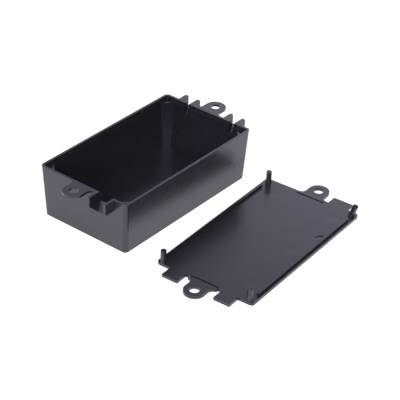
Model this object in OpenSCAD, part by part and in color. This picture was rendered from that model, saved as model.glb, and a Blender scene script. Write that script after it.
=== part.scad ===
// Plastic project box with screw ears, cable channels and a press-on lid.
// The box stands on the floor about the origin, its long side along X.
// The lid is taken off and lies beside it with its inner face up.

/* [Box] */
// Length of the box over its rim, without the ears
box_l = 87; // [70:1:130]
// Width of the box over its rim
box_w = 50; // [44:1:80]
// Height of the box from its underside to its rim
box_h = 25.5; // [18:0.5:45]
// Radius of the upright corners of the box
corner_r = 2; // [1.5:0.25:3]
// How far each end wall leans in at the floor
end_draft = 1.4; // [0:0.1:2]
// How far each side wall leans in at the floor
side_draft = 1.2; // [0:0.1:2]
// Thickness of the floor
floor_t = 1.6; // [1:0.1:3]

/* [Rim] */
// Thickness of the rim
rim_t = 1.2; // [1.2:0.1:1.6]
// Width of the ledge inside the rim
ledge_w = 0.7; // [0.4:0.1:1.2]
// Depth of the ledge below the rim
ledge_d = 1.7; // [1.4:0.1:3]

/* [Ears] */
// Distance from the end wall to the middle of the screw hole
ear_reach = 5.5; // [5:0.1:9]
// Width of an ear
ear_w = 9.8; // [8:0.1:10]
// Diameter of the screw holes in the box's ears
ear_hole_d = 4.2; // [3.2:0.1:5]
// How much wider the screw holes in the lid's ears are
lid_hole_room = 0.6; // [0:0.1:1]
// Thickness of the ears on the box
ear_t = 1; // [1:0.1:3]
// Radius of the fillet at each side of an ear's root
ear_fillet = 2.4; // [0.5:0.1:2.6]

/* [Cable channels] */
// How far the channels stand out from the end walls
fin_l = 5.3; // [3:0.1:8]
// Depth of a channel below the rim
channel_d = 4.8; // [4.2:0.1:9]
// Thickness of a channel's floor
trough_t = 1.2; // [0.8:0.1:2.5]
// Radius of the outer edges under a channel
trough_r = 1.1; // [0.3:0.1:1.2]
// Outer width of the single channel
wide_w = 10.4; // [9.5:0.1:11.4]
// Thickness of the two fins of the single channel
wide_fin_t = 1.3; // [1:0.1:1.8]
// Distance from the box's middle line to the single channel
wide_y = 12.8; // [12.6:0.1:13.6]
// Outer width of each channel of the pair
slim_w = 8.7; // [8:0.1:9.4]
// Thickness of the fins of the pair
slim_fin_t = 1.7; // [1:0.1:1.9]
// Distance from the box's middle line to each channel of the pair
slim_y = 13.3; // [12:0.1:13.8]
// Width of the slot that leads into each channel of the pair
slot_w = 2.3; // [1.5:0.1:3.5]

/* [Corner posts] */
// Diameter of the lid's locating posts
post_d = 2.6; // [1.6:0.1:2.7]
// Length of the posts above the lid's inner face
post_l = 5.8; // [3:0.1:7]
// Diameter of the collar at a post's foot, which lies just inside the rim
collar_d = 2.9; // [2.8:0.1:3.2]
// Height of the collar
collar_h = 0.8; // [0.4:0.1:1.2]
// Clearance of a post in its hole and of its collar inside the rim, on the radius
post_gap = 0.05; // [0:0.01:0.1]
// Room left under a post in its hole
post_room = 1.5; // [0.5:0.1:4]
// Length of a corner boss along each side, from the rim's inner faces
boss_leg = 6.5; // [6.1:0.1:9]
// Lean of the one post that is bent outwards, in degrees
bent_post = 18; // [0:1:25]

/* [Lid] */
// Thickness of the lid
lid_t = 1.4; // [1:0.1:3]
// How far the lid's end with two tabs stays back from the rim
lid_pair_inset = 1.2; // [0:0.05:1.2]
// How far the lid's end with one tab stays back from the rim
lid_single_inset = 0; // [0:0.05:1.2]
// How far the lid stays back from each side of the rim
lid_side_inset = 0.25; // [0:0.05:0.8]
// Radius of the lid's corners
lid_corner_r = 1.6; // [0.5:0.1:2.2]
// How far the tips of the cover tabs stand out beyond the ends of the rim
tab_reach = 5.1; // [3:0.1:8]
// How far a cover tab is narrower than its channel, on each side
tab_gap = 0.3; // [0:0.05:0.6]
// How far the wide cover tab is set over from the middle of its channel
tab_shift = 0.7; // [0:0.1:0.9]
// Length of the two rails along the lid's sides
rail_l = 72; // [40:1:74]
// Thickness of a rail
rail_t = 1.1; // [0.8:0.1:2]
// Height of a rail above the lid's inner face
rail_h = 1.1; // [0.8:0.1:1.4]
// Clearance between a rail and the rim
rail_gap = 0.15; // [0.1:0.05:0.6]
// Length of the snap-off groove at each ear's root
groove_l = 14.2; // [10:0.1:16]
// Width of the snap-off groove
groove_w = 0.9; // [0.5:0.1:1.2]
// Depth of the snap-off groove
groove_d = 0.4; // [0.2:0.05:0.6]
// Distance from the rim's end to the middle of the groove
groove_inset = 1.8; // [1.6:0.1:3]

/* [Lid beside the box] */
// Space between the box and the lid
lid_apart = 11.1; // [5:0.1:60]
// How far the lid lies along the box's length from its middle
lid_along = 4.7; // [-40:0.1:40]
// Turn of the lid on the floor, in degrees
lid_turn = 3.2; // [-3.5:0.1:3.5]

/* [Hidden] */

black = [0.07, 0.07, 0.08];
$fn = 48;
hull_fn = 32;
slice = 0.01;

half_l = box_l / 2;
half_w = box_w / 2;
wall_t = rim_t + ledge_w;
ledge_z = box_h - ledge_d;
channel_z = box_h - channel_d;
post_inset = rim_t + post_gap + collar_d / 2;
post_x = half_l - post_inset;
post_y = half_w - post_inset;
post_hole_d = post_d + 2 * post_gap;
post_hole_depth = post_l - ledge_d + post_room;
pair_end = half_l - lid_pair_inset;
single_end = half_l - lid_single_inset;
lid_w = box_w - 2 * lid_side_inset;
lid_y = -half_w - lid_apart - lid_w / 2;

// Each channel is [end of the box, middle in Y, outer width, fin thickness, width of its way in].
CHANNELS = [
    [-1, -wide_y, wide_w, wide_fin_t, wide_w - 2 * wide_fin_t],
    [1, slim_y, slim_w, slim_fin_t, slot_w],
    [1, -slim_y, slim_w, slim_fin_t, slot_w]
];

// The lid's cover tabs, which lie turned over end for end beside the box.
// Each is [end of the lid, middle in Y, width, place of that end of the lid].
TABS = [
    [-1, slim_y, slim_w - 2 * tab_gap, pair_end],
    [-1, -slim_y, slim_w - 2 * tab_gap, pair_end],
    [1, -wide_y - tab_shift, wide_w - 2 * tab_gap, single_end]
];

// A rectangle about the origin with round corners.
module rounded(l, w, r) {
    square([l - 2 * r, w], center = true);
    square([l, w - 2 * r], center = true);
    for (x = [-1, 1], y = [-1, 1])
        translate([x * (l / 2 - r), y * (w / 2 - r)]) circle(r = r);
}

// A block whose four walls lean in from the rim level to its own foot at z.
module drafted(l, w, r, z, h) {
    foot = 2 * (1 - z / box_h);
    hull() {
        translate([0, 0, z])
            linear_extrude(slice) rounded(l - foot * end_draft, w - foot * side_draft, r, $fn = hull_fn);
        translate([0, 0, z + h - slice])
            linear_extrude(slice) rounded(l, w, r, $fn = hull_fn);
    }
}

// Outline of an ear that points along +X, with the wall's outer face at X = 0.
module ear_outline(root) {
    translate([-root, -ear_w / 2]) square([root + ear_reach, ear_w]);
    translate([ear_reach, 0]) circle(d = ear_w);
    for (side = [0, 1]) mirror([0, side]) difference() {
        translate([-root, ear_w / 2]) square([root + ear_fillet, ear_fillet]);
        translate([ear_fillet, ear_w / 2 + ear_fillet]) circle(r = ear_fillet);
    }
}

// The ear of one end of the box or lid, with its top at z + t.
module ear(end, z, t, root) {
    translate([end * half_l, 0, z])
        mirror([end < 0 ? 1 : 0, 0, 0])
            linear_extrude(t) ear_outline(root);
}

// Both screw holes, through a plate that spans z to z + t.
module ear_holes(d, z, t) {
    for (end = [-1, 1])
        translate([end * (half_l + ear_reach), 0, z - 1]) cylinder(d = d, h = t + 2);
}

// Section across a channel, an open U with round outer edges below.
module channel_section(w, fin_t) {
    foot = channel_z - trough_t;
    difference() {
        union() {
            translate([-w / 2, foot + trough_r]) square([w, box_h - foot - trough_r]);
            translate([trough_r - w / 2, foot]) square([w - 2 * trough_r, trough_r + slice]);
            for (side = [-1, 1])
                translate([side * (w / 2 - trough_r), foot + trough_r]) circle(r = trough_r);
        }
        translate([fin_t - w / 2, channel_z]) square([w - 2 * fin_t, channel_d + 1]);
    }
}

// One channel, from inside the end wall to the tips of its fins.
module channel(c) {
    mirror([c[0] < 0 ? 1 : 0, 0, 0])
        translate([half_l - rim_t, c[1], 0])
            rotate([90, 0, 90]) linear_extrude(fin_l + rim_t) channel_section(c[2], c[3]);
}

// The way from the cavity into one channel, cut through the end wall beside the lower fin.
module channel_way(c) {
    mirror([c[0] < 0 ? 1 : 0, 0, 0])
        translate([half_l - wall_t - end_draft, c[1] - c[2] / 2 + c[3], channel_z])
            cube([wall_t + end_draft + slice, c[4], channel_d + 1]);
}

// The four triangular bosses that fill the inner corners up to the ledge.
module bosses() {
    x = half_l - rim_t;
    y = half_w - rim_t;
    for (mx = [0, 1], my = [0, 1]) mirror([mx, 0, 0]) mirror([0, my, 0])
        linear_extrude(box_h)
            polygon([[x + 1, y + 1], [x - boss_leg - 1, y + 1], [x + 1, y - boss_leg - 1]]);
}

module box() {
    color(black) difference() {
        union() {
            drafted(box_l, box_w, corner_r, 0, box_h);
            for (end = [-1, 1]) ear(end, box_h - ear_t, ear_t, rim_t);
            for (c = CHANNELS) channel(c);
        }
        difference() {
            drafted(box_l - 2 * wall_t, box_w - 2 * wall_t, corner_r / 2, floor_t, ledge_z - floor_t + slice);
            bosses();
        }
        translate([0, 0, ledge_z])
            linear_extrude(ledge_d + 1) rounded(box_l - 2 * rim_t, box_w - 2 * rim_t, corner_r / 2);
        for (c = CHANNELS) channel_way(c);
        ear_holes(ear_hole_d, box_h - ear_t, ear_t);
        for (x = [-1, 1], y = [-1, 1])
            translate([x * post_x, y * post_y, ledge_z - post_hole_depth])
                cylinder(d = post_hole_d, h = post_hole_depth + 1);
    }
}

// A locating post with its collar, standing on the lid's inner face and bent outwards by lean.
module post(lean) {
    translate([0, 0, lid_t - slice]) {
        cylinder(d = collar_d, h = collar_h + slice);
        rotate([lean, 0, 0]) cylinder(d = post_d, h = post_l + slice);
    }
}

// The lid lying on its outer face, with its ear holes in line about the origin.
module lid_flat() {
    plate_l = pair_end + single_end;
    difference() {
        union() {
            translate([(single_end - pair_end) / 2, 0, 0])
                linear_extrude(lid_t) rounded(plate_l, lid_w, lid_corner_r);
            for (end = [-1, 1])
                ear(end, 0, lid_t, 1 + max(lid_pair_inset, lid_single_inset));
            for (t = TABS)
                mirror([t[0] < 0 ? 1 : 0, 0, 0])
                    translate([t[3] - 1, t[1] - t[2] / 2, 0]) cube([half_l + tab_reach - t[3] + 1, t[2], lid_t]);
            for (side = [-1, 1])
                translate([-rail_l / 2, side * (half_w - rim_t - rail_gap - rail_t / 2) - rail_t / 2, lid_t - slice])
                    cube([rail_l, rail_t, rail_h + slice]);
            for (x = [-1, 1], y = [-1, 1])
                translate([x * post_x, y * post_y, 0])
                    post(x > 0 && y < 0 ? bent_post : 0);
        }
        ear_holes(ear_hole_d + lid_hole_room, 0, lid_t);
        for (end = [-1, 1])
            translate([end * (half_l - groove_inset), 0, lid_t])
                cube([groove_w, groove_l, 2 * groove_d], center = true);
    }
}

module lid() {
    color(black) translate([lid_along, lid_y, 0]) rotate(lid_turn) lid_flat();
}

box();
lid();
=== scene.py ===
import math
import bmesh
import bpy
from mathutils import Matrix, Vector


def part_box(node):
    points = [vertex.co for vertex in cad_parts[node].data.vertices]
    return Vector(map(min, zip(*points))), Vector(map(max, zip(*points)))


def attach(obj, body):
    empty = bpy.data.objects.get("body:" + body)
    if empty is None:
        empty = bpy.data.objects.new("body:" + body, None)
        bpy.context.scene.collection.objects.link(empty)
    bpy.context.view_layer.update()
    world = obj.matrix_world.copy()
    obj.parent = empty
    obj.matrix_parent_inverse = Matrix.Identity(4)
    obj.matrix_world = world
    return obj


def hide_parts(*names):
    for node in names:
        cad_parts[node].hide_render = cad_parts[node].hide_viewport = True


# Plastic project box with its lid beside it, all lengths in metres
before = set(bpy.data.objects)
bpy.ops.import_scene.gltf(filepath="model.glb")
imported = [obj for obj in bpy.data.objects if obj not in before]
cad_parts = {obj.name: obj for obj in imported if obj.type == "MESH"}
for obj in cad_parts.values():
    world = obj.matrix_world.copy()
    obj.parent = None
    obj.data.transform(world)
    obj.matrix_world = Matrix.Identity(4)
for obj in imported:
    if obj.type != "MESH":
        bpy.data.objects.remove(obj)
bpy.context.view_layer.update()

lidLow, lidHigh = [Vector(corner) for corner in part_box("lid")]
lidMiddle = (lidLow + lidHigh) / 2


# Shader helpers, in which a value is a number, a tuple or a socket to link

def feed(tree, socket, value):
    if isinstance(value, bpy.types.NodeSocket):
        tree.links.new(value, socket)
    else:
        socket.default_value = value


def feedAll(tree, node, values):
    for label, value in values.items():
        feed(tree, node.inputs[label], value)


def addMath(tree, operation, *values):
    node = tree.nodes.new("ShaderNodeMath")
    node.operation = operation
    for socket, value in zip(node.inputs, values):
        feed(tree, socket, value)
    return node.outputs["Value"]


def addVectorMath(tree, operation, first, second):
    node = tree.nodes.new("ShaderNodeVectorMath")
    node.operation = operation
    feed(tree, node.inputs[0], first)
    feed(tree, node.inputs[1], second)
    return node.outputs["Value"]


def addRange(tree, value, fromRange, toRange, smooth=False):
    node = tree.nodes.new("ShaderNodeMapRange")
    if smooth:
        node.interpolation_type = "SMOOTHSTEP"
    feedAll(tree, node, {
        "Value": value,
        "From Min": fromRange[0],
        "From Max": fromRange[1],
        "To Min": toRange[0],
        "To Max": toRange[1],
    })
    return node.outputs["Result"]


def addNoise(tree, place, scale, detail):
    node = tree.nodes.new("ShaderNodeTexNoise")
    feedAll(tree, node, {"Vector": place, "Scale": scale, "Detail": detail})
    return node.outputs["Fac"]


def newGroup(name, inputs, outputs):
    group = bpy.data.node_groups.new(name, "ShaderNodeTree")
    for label, kind, value in inputs:
        socket = group.interface.new_socket(name=label, in_out="INPUT", socket_type=kind)
        if value is not None:
            socket.default_value = value
    for label, kind in outputs:
        group.interface.new_socket(name=label, in_out="OUTPUT", socket_type=kind)
    start = group.nodes.new("NodeGroupInput")
    end = group.nodes.new("NodeGroupOutput")
    return group, start.outputs, end


def addGroup(tree, group, values):
    node = tree.nodes.new("ShaderNodeGroup")
    node.node_tree = group
    feedAll(tree, node, values)
    return node.outputs


# Moulded plastic, shared by both pieces

mouldSettings = {
    "waveScale": 38.0,  # sink and flow waves a few centimetres long
    "waveDetail": 1.0,
    "waveDepth": 0.00006,
    "polishScale": 55.0,
    "polishDetail": 2.0,
    "polishRange": (0.3, 0.7),  # the noise values that take the full spread
    "polishSpread": 0.015,
}


def mouldedSurfaceGroup(settings):
    # Waves and an uneven polish, with the marks' height added to the waves
    group, given, end = newGroup(
        "mouldedSurface",
        [("Marks", "NodeSocketFloat", 0.0), ("Roughness", "NodeSocketFloat", 0.3)],
        [("Roughness", "NodeSocketFloat"), ("Normal", "NodeSocketVector")],
    )
    place = group.nodes.new("ShaderNodeTexCoord").outputs["Object"]
    wave = addNoise(group, place, settings["waveScale"], settings["waveDetail"])
    height = addMath(group, "MULTIPLY_ADD", wave, settings["waveDepth"], given["Marks"])
    bump = group.nodes.new("ShaderNodeBump")
    feedAll(group, bump, {"Strength": 1.0, "Distance": 1.0, "Height": height})
    polish = addNoise(group, place, settings["polishScale"], settings["polishDetail"])
    spread = settings["polishSpread"]
    change = addRange(group, polish, settings["polishRange"], (-spread, spread))
    roughness = addMath(group, "ADD", given["Roughness"], change)
    feedAll(group, end, {"Roughness": roughness, "Normal": bump.outputs["Normal"]})
    return group


def roundMarkGroup():
    # A round mark, sunk by Depth and roughened by Dullness inside Radius round Centre,
    # in full up to the share of Radius that Flat gives
    group, given, end = newGroup(
        "roundMark",
        [
            ("Centre", "NodeSocketVector", None),
            ("Radius", "NodeSocketFloat", 0.0015),
            ("Flat", "NodeSocketFloat", 0.8),
            ("Depth", "NodeSocketFloat", 0.00002),
            ("Dullness", "NodeSocketFloat", 0.0),
        ],
        [("Height", "NodeSocketFloat"), ("Roughness", "NodeSocketFloat")],
    )
    place = group.nodes.new("ShaderNodeTexCoord").outputs["Object"]
    apart = addVectorMath(group, "DISTANCE", place, given["Centre"])
    fade = (addMath(group, "MULTIPLY", given["Radius"], given["Flat"]), given["Radius"])
    sunk = addMath(group, "MULTIPLY", given["Depth"], -1.0)
    height = addRange(group, apart, fade, (sunk, 0.0), True)
    dull = addRange(group, apart, fade, (given["Dullness"], 0.0), True)
    feedAll(group, end, {"Height": height, "Roughness": dull})
    return group


mouldedSurface = mouldedSurfaceGroup(mouldSettings)
roundMark = roundMarkGroup()


def plasticMaterial(name, settings, marks):
    material = bpy.data.materials.new(name)
    material.use_nodes = True
    tree = material.node_tree
    height, roughness = 0.0, settings["roughness"]
    for mark in marks:
        marked = addGroup(tree, roundMark, mark)
        height = addMath(tree, "ADD", marked["Height"], height)
        roughness = addMath(tree, "ADD", marked["Roughness"], roughness)
    surface = addGroup(tree, mouldedSurface, {"Marks": height, "Roughness": roughness})
    feedAll(tree, tree.nodes["Principled BSDF"], {
        "Base Color": (*settings["color"], 1),
        "IOR": settings["ior"],
        "Specular Tint": (*settings["specularTint"], 1),
        "Roughness": surface["Roughness"],
        "Normal": surface["Normal"],
    })
    return material


# Moulded edges, worked on a copy of each CAD solid

edgeSettings = {
    "joinDistance": 0.00002,
    "flatAngle": math.radians(0.6),  # faces closer to flat than this become one
    "radius": 0.00018,
    "railRadius": 0.00045,
    "angle": math.radians(32),  # edges sharper than this are rounded
    "segments": 3,
    "flatWeight": 80,  # large flat faces keep their own normals
}


def mouldedCopy(name, node, railTop, settings):
    # railTop is the height range of the edges that take the rails' larger radius
    shape = bmesh.new()
    shape.from_mesh(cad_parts[node].data)
    bmesh.ops.remove_doubles(shape, verts=shape.verts, dist=settings["joinDistance"])
    bmesh.ops.dissolve_limit(
        shape, angle_limit=settings["flatAngle"], verts=shape.verts, edges=shape.edges
    )
    for face in shape.faces:
        face.smooth = True
    weight = shape.edges.layers.float.new("bevel_weight_edge")
    for edge in shape.edges:
        if len(edge.link_faces) == 2 and edge.calc_face_angle() > settings["angle"]:
            onRail = all(railTop[0] < vert.co.z < railTop[1] for vert in edge.verts)
            edge[weight] = 1.0 if onRail else settings["radius"] / settings["railRadius"]
    mesh = bpy.data.meshes.new(name)
    shape.to_mesh(mesh)
    shape.free()
    piece = bpy.data.objects.new(name, mesh)
    bpy.context.scene.collection.objects.link(piece)
    bevel = piece.modifiers.new("edges", "BEVEL")
    bevel.width = settings["railRadius"]
    bevel.segments = settings["segments"]
    bevel.limit_method = "WEIGHT"
    normals = piece.modifiers.new("normals", "WEIGHTED_NORMAL")
    normals.weight = settings["flatWeight"]
    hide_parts(node)
    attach(piece, "root")
    return piece


# Box

boxSettings = {
    "color": (0.0121, 0.0116, 0.0138),
    "specularTint": (0.87, 0.835, 1.0),
    "ior": 1.66,
    "roughness": 0.27,
    "railTop": (0.0, 0.0),  # the box has no rails
}

print("box")
boxPiece = mouldedCopy("boxMoulding", "box", boxSettings["railTop"], edgeSettings)
boxPiece.data.materials.append(plasticMaterial("boxPlastic", boxSettings, []))


# Lid, with marks on its inner face at places along and across it

lidSettings = {
    "color": (0.0121, 0.0116, 0.0138),
    "specularTint": (0.87, 0.835, 1.0),
    "ior": 1.66,
    "roughness": 0.29,
    "railTop": (0.0024, 0.0026),
    "turn": math.radians(3.2),
    "thickness": 0.0014,
    "pinsAlong": (-0.031, 0.0015, 0.034),
    "pinsAcross": (-0.016, 0.016),
    "pinMark": {"Radius": 0.0026, "Flat": 0.75, "Depth": 0.00002, "Dullness": 0.0},
    "gateAt": (0.0176, -0.0207),
    "gateMark": {"Radius": 0.0015, "Flat": 0.3, "Depth": 0.0005, "Dullness": 0.6},
    "smearAt": (0.0157, -0.0197),
    "smearMark": {"Radius": 0.0016, "Flat": 0.1, "Depth": 0.0001, "Dullness": 0.35},
}


def lidPlace(settings, along, across):
    cosine, sine = math.cos(settings["turn"]), math.sin(settings["turn"])
    x = lidMiddle.x + cosine * along - sine * across
    y = lidMiddle.y + sine * along + cosine * across
    return x, y, settings["thickness"]


def lidMarks(settings):
    marks = []
    for along in settings["pinsAlong"]:
        for across in settings["pinsAcross"]:
            marks.append({"Centre": lidPlace(settings, along, across), **settings["pinMark"]})
    for label in ("gate", "smear"):
        centre = lidPlace(settings, *settings[label + "At"])
        marks.append({"Centre": centre, **settings[label + "Mark"]})
    return marks


print("lid")
lidPiece = mouldedCopy("lidMoulding", "lid", lidSettings["railTop"], edgeSettings)
lidPiece.data.materials.append(plasticMaterial("lidPlastic", lidSettings, lidMarks(lidSettings)))


# Floor, sky and lamps

floorSettings = {
    "size": 6.0,
    "height": -0.0001,  # just under the undersides, which lie at zero
    "color": (0.9, 0.9, 0.9),
    "glowColor": (1.0, 1.0, 1.0),
    "seenGlow": 0.5,  # both glows are for what is seen and mirrored, and light nothing
    "mirroredGlow": 0.4,
}


def floorMaterial(settings):
    material = bpy.data.materials.new("floorWhite")
    material.use_nodes = True
    tree = material.node_tree
    shader = tree.nodes["Principled BSDF"]
    ray = tree.nodes.new("ShaderNodeLightPath").outputs
    mirrored = addMath(tree, "MAXIMUM", ray["Is Glossy Ray"], ray["Is Transmission Ray"])
    glow = addMath(tree, "MULTIPLY", mirrored, settings["mirroredGlow"])
    glow = addMath(tree, "MULTIPLY_ADD", ray["Is Camera Ray"], settings["seenGlow"], glow)
    feedAll(tree, shader, {
        "Base Color": (*settings["color"], 1),
        "Roughness": 1.0,
        "Specular IOR Level": 0.0,
        "Emission Color": (*settings["glowColor"], 1),
        "Emission Strength": glow,
    })
    # clear from below, so that the undersides can be looked at
    clear = tree.nodes.new("ShaderNodeBsdfTransparent")
    geometry = tree.nodes.new("ShaderNodeNewGeometry")
    sides = tree.nodes.new("ShaderNodeMixShader")
    feed(tree, sides.inputs["Fac"], geometry.outputs["Backfacing"])
    feed(tree, sides.inputs[1], shader.outputs["BSDF"])
    feed(tree, sides.inputs[2], clear.outputs["BSDF"])
    feed(tree, tree.nodes["Material Output"].inputs["Surface"], sides.outputs["Shader"])
    return material


def makeFloor(settings):
    place = (0, 0, settings["height"])
    bpy.ops.mesh.primitive_plane_add(size=settings["size"], location=place)
    floor = bpy.context.object
    floor.name = "floor"
    floor.data.materials.append(floorMaterial(settings))


def sphericalPlace(azimuth, elevation, distance):
    # azimuth 0 looks from the front, along +Y, and grows to the right
    flat = math.cos(elevation)
    direction = (math.sin(azimuth) * flat, -math.cos(azimuth) * flat, math.sin(elevation))
    return Vector(direction) * distance


skySettings = {
    "color": (1.02, 1.0, 1.14),
    "level": 1.05,
    "lowest": 0.25,
    "slope": (-0.31, 0.46, -1.17),  # a pale surround that darkens overhead and to the front
    "patchAzimuth": math.radians(115),  # low behind the box, a little to the right
    "patchElevation": math.radians(20),
    "patchLevel": 1.35,
    "patchInner": math.radians(8),  # full up to here, and gone at patchOuter
    "patchOuter": math.radians(18),
}


def makeSky(settings):
    world = bpy.data.worlds.new("sky")
    bpy.context.scene.world = world
    world.use_nodes = True
    tree = world.node_tree
    direction = tree.nodes.new("ShaderNodeTexCoord").outputs["Generated"]
    slope = addVectorMath(tree, "DOT_PRODUCT", direction, settings["slope"])
    level = addMath(tree, "ADD", slope, settings["level"])
    level = addMath(tree, "MAXIMUM", level, settings["lowest"])
    patchPlace = sphericalPlace(settings["patchAzimuth"], settings["patchElevation"], 1.0)
    nearness = addVectorMath(tree, "DOT_PRODUCT", direction, patchPlace)
    fade = (math.cos(settings["patchOuter"]), math.cos(settings["patchInner"]))
    patch = addRange(tree, nearness, fade, (0.0, settings["patchLevel"]), True)
    feedAll(tree, tree.nodes["Background"], {
        "Color": (*settings["color"], 1),
        "Strength": addMath(tree, "ADD", level, patch),
    })


lampSettings = {
    "key": {"azimuth": math.radians(-64), "elevation": math.radians(28), "power": 15.5},
    "fill": {"azimuth": math.radians(-20), "elevation": math.radians(45), "power": 10.5},
    "distance": 1.6,
    "size": 0.9,
}


def makeLamp(name, settings):
    light = bpy.data.lights.new(name, "AREA")
    light.shape = "DISK"
    light.size = settings["size"]
    light.energy = settings[name]["power"]
    lamp = bpy.data.objects.new(name, light)
    bpy.context.scene.collection.objects.link(lamp)
    azimuth, elevation = settings[name]["azimuth"], settings[name]["elevation"]
    lamp.location = sphericalPlace(azimuth, elevation, settings["distance"])
    lamp.rotation_euler = lamp.location.to_track_quat("Z", "Y").to_euler()


# Camera

cameraSettings = {
    "azimuth": math.radians(-52.65),
    "elevation": math.radians(32.83),
    "roll": math.radians(2.49),
    "distance": 0.7273,
    "target": (0.01275, -0.02095, 0.0),
    "lens": 143.9,
    "sensor": 36.0,
    "nearest": 0.01,
}


def makeCamera(settings):
    data = bpy.data.cameras.new("camera")
    data.lens = settings["lens"]
    data.sensor_width = settings["sensor"]
    data.clip_start = settings["nearest"]
    camera = bpy.data.objects.new("camera", data)
    bpy.context.scene.collection.objects.link(camera)
    back = sphericalPlace(settings["azimuth"], settings["elevation"], settings["distance"])
    place = Matrix.Translation(Vector(settings["target"]) + back)
    look = back.to_track_quat("Z", "Y").to_matrix().to_4x4()
    camera.matrix_world = place @ look @ Matrix.Rotation(settings["roll"], 4, "Z")
    bpy.context.scene.camera = camera


print("scene")
makeFloor(floorSettings)
makeSky(skySettings)
for lampName in ("key", "fill"):
    makeLamp(lampName, lampSettings)
makeCamera(cameraSettings)
bpy.context.scene.view_settings.view_transform = "Standard"
